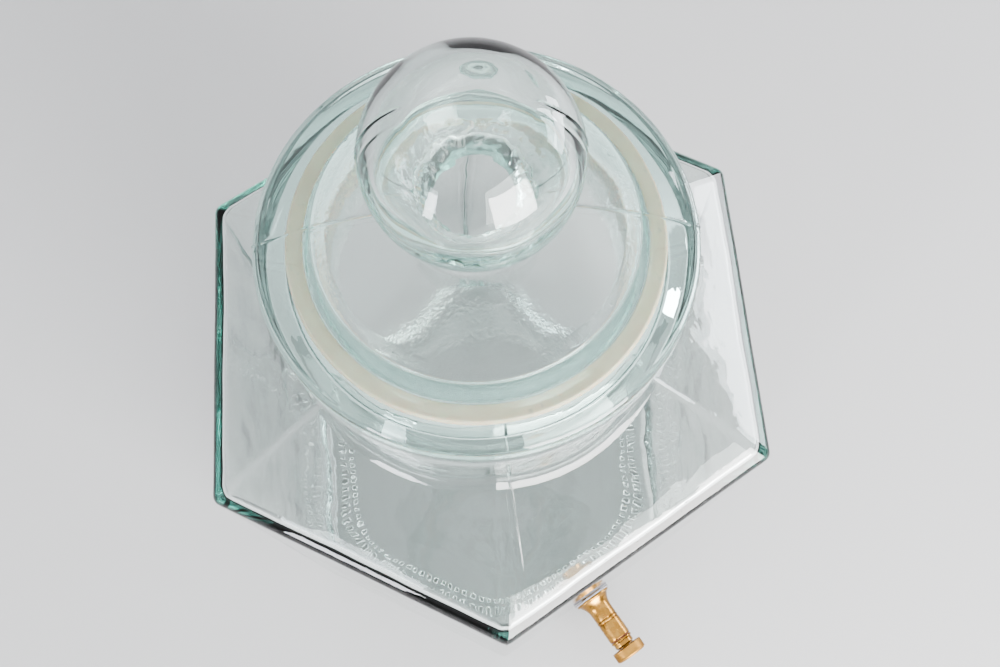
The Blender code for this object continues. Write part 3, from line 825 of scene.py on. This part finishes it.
def lid_corners():
    """Path of the lid's section: inside from the ball's top down, round plug and edge, outside to the top."""
    inner_dome = DOME_RADIUS - LID_GLASS
    cavity = BALL_CENTRE + CAVITY_RISE
    throat = foot_circle(CAVITY_RADIUS, cavity, inner_dome, THROAT_ROUND)
    foot = foot_circle(BALL_RADIUS, BALL_CENTRE, DOME_RADIUS, BALL_FOOT_ROUND)
    inner_dome_start = throat[0] + THROAT_ROUND * math.cos(math.radians(throat[3]))
    outer_dome_start = foot[0] + BALL_FOOT_ROUND * math.cos(math.radians(foot[3]))
    skirt = PLUG_RADIUS - PLUG_WALL
    edge_top = LID_SEAT + LID_EDGE_HEIGHT
    plug_round = PLUG_WALL / 2 - 0.0001
    path = arc_corners(0.0, cavity, CAVITY_RADIUS, 90, throat[2] - 180, 58)
    path += arc_corners(*throat[:2], THROAT_ROUND, *throat[2:], 12)[1:]
    path += dome_corners(inner_dome_start, FLARE_RADIUS - SKIRT_ROUND, 24, LID_GLASS)[1:]
    flare_top = DOME_CENTRE + math.sqrt(inner_dome ** 2 - FLARE_RADIUS ** 2)
    path += [
        (FLARE_RADIUS, flare_top, 0.0016, 8),
        (skirt, LID_SEAT + 0.0035, SKIRT_ROUND, 6),
        (skirt, SEAL_LOW.z, 0.006, 4),
        (PLUG_FOOT - PLUG_WALL, PLUG_END, plug_round, 7),
        (PLUG_FOOT, PLUG_END, plug_round, 7),
        (PLUG_RADIUS, SEAL_LOW.z - 0.001, 0.006, 4),
        (PLUG_RADIUS, LID_SEAT, 0.0009, 4),
        (LID_RADIUS, LID_SEAT, 0.0024, 7),
        (LID_RADIUS, edge_top, 0.0034, 9),
    ]
    path += dome_corners(LID_RADIUS - 0.004, outer_dome_start, 24, 0.0)
    path += arc_corners(*foot[:2], BALL_FOOT_ROUND, foot[3], foot[2], 12)[1:]
    path += arc_corners(0.0, BALL_CENTRE, BALL_RADIUS, foot[2] - 180, 90, 58)[1:]
    path[0] = (0.0, path[0][1], 0, 0)
    path[-1] = (0.0, path[-1][1], 0, 0)
    return path


def lid_relief(points, angles, radius, height):
    """Slow waves, parting lines on the outside, lumps low in the ball, stipple on the plug."""
    in_ball = height > BALL_CENTRE - CAVITY_RADIUS and radius < BALL_RADIUS
    under_dome = math.hypot(radius, height - DOME_CENTRE) < DOME_RADIUS - LID_GLASS / 2
    within_plug = radius < PLUG_RADIUS - PLUG_WALL / 2
    inside = under_dome and within_plug
    if in_ball:
        inside = math.hypot(radius, height - BALL_CENTRE) < BALL_RADIUS - LID_GLASS / 2 or radius < 0.022
    move = wave_field(points, 0.03, seed=11) * (INNER_LID_WAVES if inside else OUTER_LID_WAVES)
    if inside and in_ball:
        low = min(1.0, max(0.0, (BALL_CENTRE - BUBBLE_START - height) / BUBBLE_FADE))
        lumps = np.array([noise.turbulence(Vector(point) * BUBBLE_SCALE, 3, False) for point in points])
        return move + low * BUBBLE_DEPTH * (lumps - 0.5), 0.35 * low
    on_plug = height < LID_SEAT - 0.0005 and radius < PLUG_RADIUS + 0.001
    if on_plug and (not within_plug or height < PLUG_END + STIPPLE_REACH):
        stipple = np.array([noise.noise(Vector(point) * STIPPLE_SCALE) for point in points])
        return move + STIPPLE_DEPTH * stipple, 1.0
    if inside:
        return move, 0.55 if radius > GRAINY_RADIUS else 0.12
    if height > LID_SEAT:
        move = move + sum(ridge_at(angles, seam, max(radius, 1e-4)) for seam in LID_SEAM_ANGLES)
    return move, 0.0


def lid_columns():
    """Even steps round the lid, with a few close together at its parting lines."""
    angles = list(even_steps(LID_COLUMNS))
    for seam in LID_SEAM_ANGLES:
        angles += seam_columns(seam, (0.2, 0.4, 0.8))
    return turns(angles)


def build_lid(glass):
    lid = turned(
        "lid_dome_and_ball", lid_corners(), glass, Matrix.Translation(AXIS), columns=lid_columns(),
        spacing=0.004, relief=lid_relief)
    stand_in(lid, "lid_glass", "lid")


def seal_relief(points, angles, radius, height):
    return wave_field(points, 0.02, seed=21) * SEAL_WAVES, 0.0


def build_seal(silicone):
    """Flange on the jar's rim with a sleeve below it that fills the mouth."""
    inner = PLUG_RADIUS + 2 * GAP
    sleeve = MOUTH_RADIUS - 0.0008
    top = SEAL_HIGH.z
    flange = top - SEAL_FLANGE
    bottom = SEAL_LOW.z
    corners = [
        (sleeve, bottom, 0.0008, 4),
        (sleeve, flange, 0.0004, 3),
        (SEAL_RADIUS, flange, 0.0008, 5),
        (SEAL_RADIUS, top, 0.0008, 5),
        (inner, top, 0.001, 5),
        (inner, bottom, 0.0008, 4),
    ]
    seal = turned(
        "seal_ring", closed_turning(corners), silicone, Matrix.Translation(AXIS), columns=240, spacing=0.0015,
        relief=seal_relief)
    stand_in(seal, "lid_seal_ring", "lid_seal")


# ---------------- tap
def tap_piece(name, node, corners, material, body="jar", slot="aged_brass", reach=Matrix(), **settings):
    """Turned piece of the tap, drawn along its axis; the path closes unless it starts on the axis."""
    if corners[0][0] > 0:
        corners = closed_turning(corners)
    piece = turned(name, corners, material, tap_matrix() @ reach, **settings)
    stand_in(piece, node, body)
    return piece


def mirrored(side, middle):
    """Corners of a path with the same shape before and after a place; each height is measured from it."""
    before = [(radius, middle - height, rounding, steps) for radius, height, rounding, steps in side]
    after = [(radius, middle + height, rounding, steps) for radius, height, rounding, steps in side]
    return before + after[::-1]


def build_barrel(brass):
    """Threaded shank, flange, flare and barrel, with a band between two grooves, bored from end to end."""
    root = FLANGE_RADIUS - 0.0012
    flare_start = FLANGE_FRONT + 0.0002
    corners = [
        (SHANK_RADIUS, -SHANK_LENGTH, 0.0005, 3),
        (SHANK_RADIUS, FLANGE_BACK, 0, 0),
        (FLANGE_RADIUS, FLANGE_BACK, 0.0003, 3),
        (FLANGE_RADIUS, FLANGE_FRONT, 0.0005, 3),
    ]
    for part in np.linspace(1, 0, 17):
        radius = BARREL_RADIUS + (root - BARREL_RADIUS) * part ** FLARE_POWER
        corners.append((radius, FLARE_END + (flare_start - FLARE_END) * part, 0, 0))
    band = [
        (BARREL_RADIUS, 0.0015, 0.0002, 2),
        (BARREL_RADIUS - 0.0006, 0.001, 0.0003, 3),
        (BARREL_RADIUS + 0.00022, 0.0006, 0.0004, 4),
    ]
    corners += mirrored(band, BAND_PLACE)
    corners += [
        (BARREL_RADIUS, BARREL_END, 0.0005, 4),
        (CHAMBER_RADIUS, BARREL_END, 0.0002, 2),
        (CHAMBER_RADIUS, CHAMBER_BACK, 0.0003, 2),
        (SEAT_RADIUS, CHAMBER_BACK, 0, 0),
        (SEAT_RADIUS, CHAMBER_BACK + 0.001, 0.0002, 2),
        (WATERWAY_RADIUS, CHAMBER_BACK + 0.001, 0.0002, 2),
        (WATERWAY_RADIUS, -SHANK_LENGTH, 0.0003, 2),
    ]
    tap_piece("tap_barrel", "spigot_body", corners, brass, relief=shank_thread)


def shank_thread(points, angles, radius, height):
    """Screw thread on the shank behind the glass, and no relief anywhere else."""
    if radius < SHANK_RADIUS - 0.0006 or height > -0.001:
        return 0.0, 0.0
    phase = (height / THREAD_PITCH - angles / TURN) % 1.0
    return -THREAD_DEPTH * np.abs(2 * phase - 1), 0.0


def build_spout(brass):
    """Nozzle that points down from the barrel, with a collar and a rolled lip."""
    reach = Matrix.Translation((0.0, 0.0, SPOUT_PLACE)) @ Matrix.Rotation(-math.pi / 2, 4, "X")
    collar = -BARREL_RADIUS - 0.0004
    collar_radius = SPOUT_RADIUS + 0.0012
    root = -CHAMBER_RADIUS - 0.0007
    corners = [
        (SPOUT_RADIUS + 0.0004, -SPOUT_LENGTH, 0.0003, 3),
        (SPOUT_RADIUS + 0.0005, -SPOUT_LENGTH + 0.0008, 0.0004, 3),
        (SPOUT_RADIUS, -SPOUT_LENGTH + 0.0014, 0.0004, 3),
        (SPOUT_RADIUS, collar - 0.0026, 0.0003, 3),
        (collar_radius, collar - 0.0018, 0.0003, 3),
        (collar_radius, collar, 0.0003, 3),
        (SPOUT_RADIUS, collar, 0, 0),
        (SPOUT_RADIUS, root, 0.0002, 2),
        (SPOUT_BORE, root, 0.0002, 2),
        (SPOUT_BORE, -SPOUT_LENGTH, 0.0004, 2),
    ]
    tap_piece("tap_spout", "spout", corners, brass, reach=reach, columns=120)


def build_bonnet(brass):
    """Bonnet screwed into the barrel's front, hollow for the spindle's packing."""
    collar = BONNET_RIM + 0.0012
    corners = [
        (CHAMBER_RADIUS - GAP, BONNET_BACK, 0.0002, 2),
        (CHAMBER_RADIUS - GAP, BONNET_RIM, 0, 0),
        (BARREL_RADIUS, BONNET_RIM, 0.0003, 3),
        (BARREL_RADIUS, collar, 0.0004, 4),
        (BONNET_RADIUS, collar + 0.0004, 0.0004, 4),
        (BONNET_RADIUS, BONNET_FRONT, 0.0004, 3),
        (0.0044, BONNET_FRONT, 0, 0),
        (0.0044, collar, 0, 0),
        (0.0039, collar, 0, 0),
        (0.0039, BONNET_BACK, 0, 0),
    ]
    tap_piece("tap_bonnet", "bonnet", corners, brass)


def build_gland_nut(brass):
    """Nut that shows as a dark neck between the bonnet and the knob."""
    neck, head, bore = 0.0041, 0.006, STEM_RADIUS + GAP
    back, step = 0.0372, 0.0387
    corners = [
        (neck, back, 0, 0),
        (neck, step, 0, 0),
        (head, step, 0.0002, 2),
        (head, GLAND_FRONT, 0.0002, 2),
        (bore, GLAND_FRONT, 0, 0),
        (bore, back, 0, 0),
    ]
    tap_piece("tap_gland_nut", "gland_nut", corners, brass)


def knurl_relief(points, angles, radius, height):
    """Fine diamond knurl on the knob's rim, fading out at its two edges."""
    if radius < KNOB_RADIUS - 0.0003:
        return 0.0, 0.0
    fade = min(1.0, (height - KNOB_BACK) / 0.0008, (KNOB_FRONT - KNOB_BEVEL - height) / 0.0006)
    if fade <= 0:
        return 0.0, 0.0
    climb = height / KNOB_RADIUS
    one = np.abs(((angles + climb) * KNURLS / TURN) % 1.0 - 0.5)
    two = np.abs(((angles - climb) * KNURLS / TURN) % 1.0 - 0.5)
    return -KNURL_DEPTH * fade * (0.5 - np.minimum(one, two)), 0.0


def build_knob(brass):
    """Knurled knob with a bevelled face, a hollow in it for the screw, and a bore for the spindle."""
    recess, bore = 0.0037, STEM_RADIUS + GAP
    corners = [
        (KNOB_RADIUS, KNOB_BACK, 0.0004, 3),
        (KNOB_RADIUS, KNOB_FRONT - 0.001, 0.0003, 3),
        (KNOB_RADIUS - KNOB_BEVEL, KNOB_FRONT, 0.0005, 4),
        (recess, KNOB_FRONT, 0.0003, 3),
        (recess, KNOB_FRONT - KNOB_RECESS, 0.0002, 2),
        (bore, KNOB_FRONT - KNOB_RECESS, 0, 0),
        (bore, KNOB_BACK, 0.0002, 2),
    ]
    tap_piece(
        "tap_knob", "knob", corners, brass, body="tap_spindle", columns=KNURLS * 6, spacing=0.00045,
        relief=knurl_relief)


def build_knob_screw(brass):
    """Small slotted screw sunk in the knob's face."""
    head, pin, pin_end = 0.0032, 0.0006, 0.0422
    top = KNOB_FRONT - GAP
    seat = KNOB_FRONT - KNOB_RECESS + GAP
    corners = [
        (0.0, pin_end, 0, 0),
        (pin, pin_end, 0, 0),
        (pin, seat, 0, 0),
        (head, seat, 0.0002, 2),
        (head, top - 0.0003, 0.0004, 4),
        (0.0, top, 0, 0),
    ]
    screw = tap_piece(
        "tap_knob_screw", "knob_screw", corners, brass, body="tap_spindle", columns=96, spacing=0.0006)
    turn = Matrix.Translation((0.0, 0.0, top)) @ Matrix.Rotation(math.radians(28), 4, "Z")
    size = Matrix.Diagonal((0.0008, 0.008, 0.0014, 1.0))
    cut(screw, block("slot_form", tap_matrix() @ turn @ size))


def block(name, matrix):
    """Cube of side 1, moved and scaled by the matrix."""
    work = bmesh.new()
    bmesh.ops.create_cube(work, size=1.0, matrix=matrix)
    mesh = bpy.data.meshes.new(name)
    work.to_mesh(mesh)
    work.free()
    return add_object(name, mesh)


def build_washer(name, node, material, slot, sizes, rounding):
    """Flat ring; sizes are its bore, its radius, and where it starts and ends along the axis."""
    inner, outer, start, end = sizes
    corners = [(outer, start, rounding, 3), (outer, end, rounding, 3)]
    corners += [(inner, end, rounding, 2), (inner, start, rounding, 2)]
    tap_piece(name, node, corners, material, slot=slot, spacing=0.0008)


def build_washers(brass, rubber):
    """Rubber on both sides of the glass, and a brass washer under the nut."""
    bore = SHANK_RADIUS + GAP
    inside = -WALL
    sizes = (TAP_HOLE + GAP, WASHER_RADIUS, GAP, OUTER_WASHER)
    build_washer("tap_outer_washer", "outer_washer", rubber, "grey_rubber", sizes, 0.0004)
    sizes = (bore, WASHER_RADIUS, inside - INNER_WASHER, inside - GAP)
    build_washer("tap_inner_washer", "inner_washer", rubber, "grey_rubber", sizes, 0.0005)
    metal = inside - INNER_WASHER - GAP
    sizes = (bore, WASHER_RADIUS - 0.0006, metal - METAL_WASHER, metal)
    build_washer("tap_metal_washer", "inner_metal_washer", brass, "aged_brass", sizes, 0.0002)


def build_lock_nut(brass):
    """Six-sided nut; a slanting cut takes its corners off at both ends."""
    front = -WALL - INNER_WASHER - METAL_WASHER - 2 * GAP
    back = front - NUT_THICKNESS
    bore = SHANK_RADIUS + GAP
    angles = even_steps(TAP_COLUMNS)
    flats = hexagon_radius(angles, NUT_RADIUS * COS30, 0.0008)
    ends = np.minimum(flats, NUT_RADIUS - 0.0016) - 0.0001
    slant = (flats - ends) * math.tan(math.radians(35))
    start = (bore + 0.001, back, 0, 0)
    corners = [
        start,
        (ends, back, 0, 0),
        (flats, back + slant, 0, 0),
        (flats, front - slant, 0, 0),
        (ends, front, 0, 0),
        (bore, front, 0.0004, 3),
        (bore, back, 0.0004, 3),
        start,
    ]
    skin = Skin()
    skin.rows(filled(rounded_path(corners), 0.001)[:-1], angles)
    skin.wrap()
    nut = skin.piece("tap_lock_nut", tap_matrix(), brass)
    nut.data.set_sharp_from_angle(angle=math.radians(30))
    stand_in(nut, "lock_nut", "jar")


# ---------------- room
def build_floor():
    """Wide pale floor with a faint unevenness in tone."""
    mesh = bpy.data.meshes.new("floor")
    work = bmesh.new()
    bmesh.ops.create_grid(work, x_segments=4, y_segments=4, size=12.0)
    work.to_mesh(mesh)
    work.free()
    n = Nodes("floor_paper")
    tone = n.noise(1.3, detail=3.0)
    n.set(Base_Color=n.blend(tone, linear(0.43, 0.43, 0.435), linear(0.46, 0.46, 0.463)))
    n.set(Roughness=0.85, Specular_IOR_Level=0.2)
    floor = place("floor", mesh, n.material)


def add_softbox(name, azimuth, elevation, distance, size, power, tint):
    """Area light that faces the jar from a compass direction (0 is -Y) and a height angle, in degrees."""
    light = bpy.data.lights.new(name, "AREA")
    light.shape = "RECTANGLE"
    light.size, light.size_y = size
    light.energy = power
    light.color = tint
    holder = add_object(name, light)
    turn, rise = math.radians(azimuth), math.radians(elevation)
    way = Vector((math.sin(turn) * math.cos(rise), -math.cos(turn) * math.cos(rise), math.sin(rise)))
    holder.location = AXIS + Vector((0.0, 0.0, LIGHT_AIM)) + way * distance
    holder.rotation_euler = way.to_track_quat("Z", "Y").to_euler()


def studio_world():
    """Soft white light from above that falls off to grey near the horizon and gives glass its dark edges."""
    world = bpy.data.worlds.new("studio")
    world.use_nodes = True
    tree = world.node_tree
    background = tree.nodes["Background"]
    background.inputs["Color"].default_value = linear(0.97, 0.98, 1.0)
    where = tree.nodes.new("ShaderNodeTexCoord")
    split = tree.nodes.new("ShaderNodeSeparateXYZ")
    fall = tree.nodes.new("ShaderNodeMapRange")
    fall.interpolation_type = "SMOOTHSTEP"
    for key, value in {"From Min": 0.10, "From Max": 0.85, "To Min": WORLD_LOW, "To Max": WORLD_HIGH}.items():
        fall.inputs[key].default_value = value
    tree.links.new(where.outputs["Generated"], split.inputs["Vector"])
    tree.links.new(split.outputs["Z"], fall.inputs["Value"])
    tree.links.new(fall.outputs["Result"], background.inputs["Strength"])
    return world


def light_room():
    white = (1.0, 0.985, 0.97)
    cool = (0.93, 0.95, 1.0)
    add_softbox("softbox_front_right", 2, 9, 1.45, (1.0, 0.95), 88, white)
    add_softbox("softbox_right", 78, 6, 1.7, (1.1, 0.40), 17, cool)
    add_softbox("softbox_left", -70, 10, 1.7, (0.25, 0.8), 16, cool)
    bpy.context.scene.world = studio_world()
    bpy.context.scene.view_settings.look = "AgX - Medium High Contrast"


def place_camera():
    sin_a, cos_a = math.sin(CAMERA_AZIMUTH), math.cos(CAMERA_AZIMUTH)
    sin_e, cos_e = math.sin(CAMERA_ELEVATION), math.cos(CAMERA_ELEVATION)
    back = Vector((sin_a * cos_e, -cos_a * cos_e, sin_e))
    level = Vector((cos_a, sin_a, 0.0))
    rise = back.cross(level)
    right = level * math.cos(CAMERA_ROLL) + rise * math.sin(CAMERA_ROLL)
    up = rise * math.cos(CAMERA_ROLL) - level * math.sin(CAMERA_ROLL)
    data = bpy.data.cameras.new("camera")
    data.lens = CAMERA_LENS
    data.sensor_width = 36.0
    camera = add_object("camera", data)
    matrix = Matrix((right, up, back)).transposed().to_4x4()
    matrix.translation = (
        AXIS + Vector((0.0, 0.0, CAMERA_LOOK_HEIGHT)) + back * CAMERA_DISTANCE
        + right * CAMERA_RIGHT + up * CAMERA_UP)
    camera.matrix_world = matrix
    bpy.context.scene.camera = camera


def set_light_paths():
    """Glass in front of glass needs many bounces."""
    cycles = bpy.context.scene.cycles
    cycles.max_bounces = 24
    cycles.transmission_bounces = 24
    cycles.glossy_bounces = 8
    cycles.diffuse_bounces = 3
    cycles.transparent_max_bounces = 24
    cycles.blur_glossy = 0.5


# ---------------- everything
jar_glass = glass_material("jar_glass", ripple=0.00035, grain_depth=0.0002, tint=8.5)
lid_glass = glass_material("lid_glass", ripple=0.0002, grain_depth=0.0006, tint=17.0)
brass = brass_material("aged_brass", satin=False)
satin_brass = brass_material("satin_brass", satin=True)
silicone = silicone_material()
rubber = rubber_material("grey_rubber", linear(0.20, 0.19, 0.21), linear(0.34, 0.33, 0.36))
fibre = rubber_material("red_fibre", linear(0.24, 0.07, 0.04), linear(0.36, 0.13, 0.08))

build_jar(jar_glass)
build_lid(lid_glass)
build_seal(silicone)
build_washers(brass, rubber)
build_barrel(brass)
build_spout(brass)
build_bonnet(brass)
build_gland_nut(brass)
build_knob(satin_brass)
build_knob_screw(brass)
build_lock_nut(brass)

KEPT_NODES = {
    "bonnet_seal": fibre,
    "stem_packing": fibre,
    "stem": brass,
    "jumper": brass,
    "seat_washer_screw": brass,
    "seat_washer": rubber,
}
for node_name, material in KEPT_NODES.items():
    for material_slot in frame["nodes"][node_name].material_slots:
        material_slot.material = material

build_floor()
light_room()
place_camera()
set_light_paths()
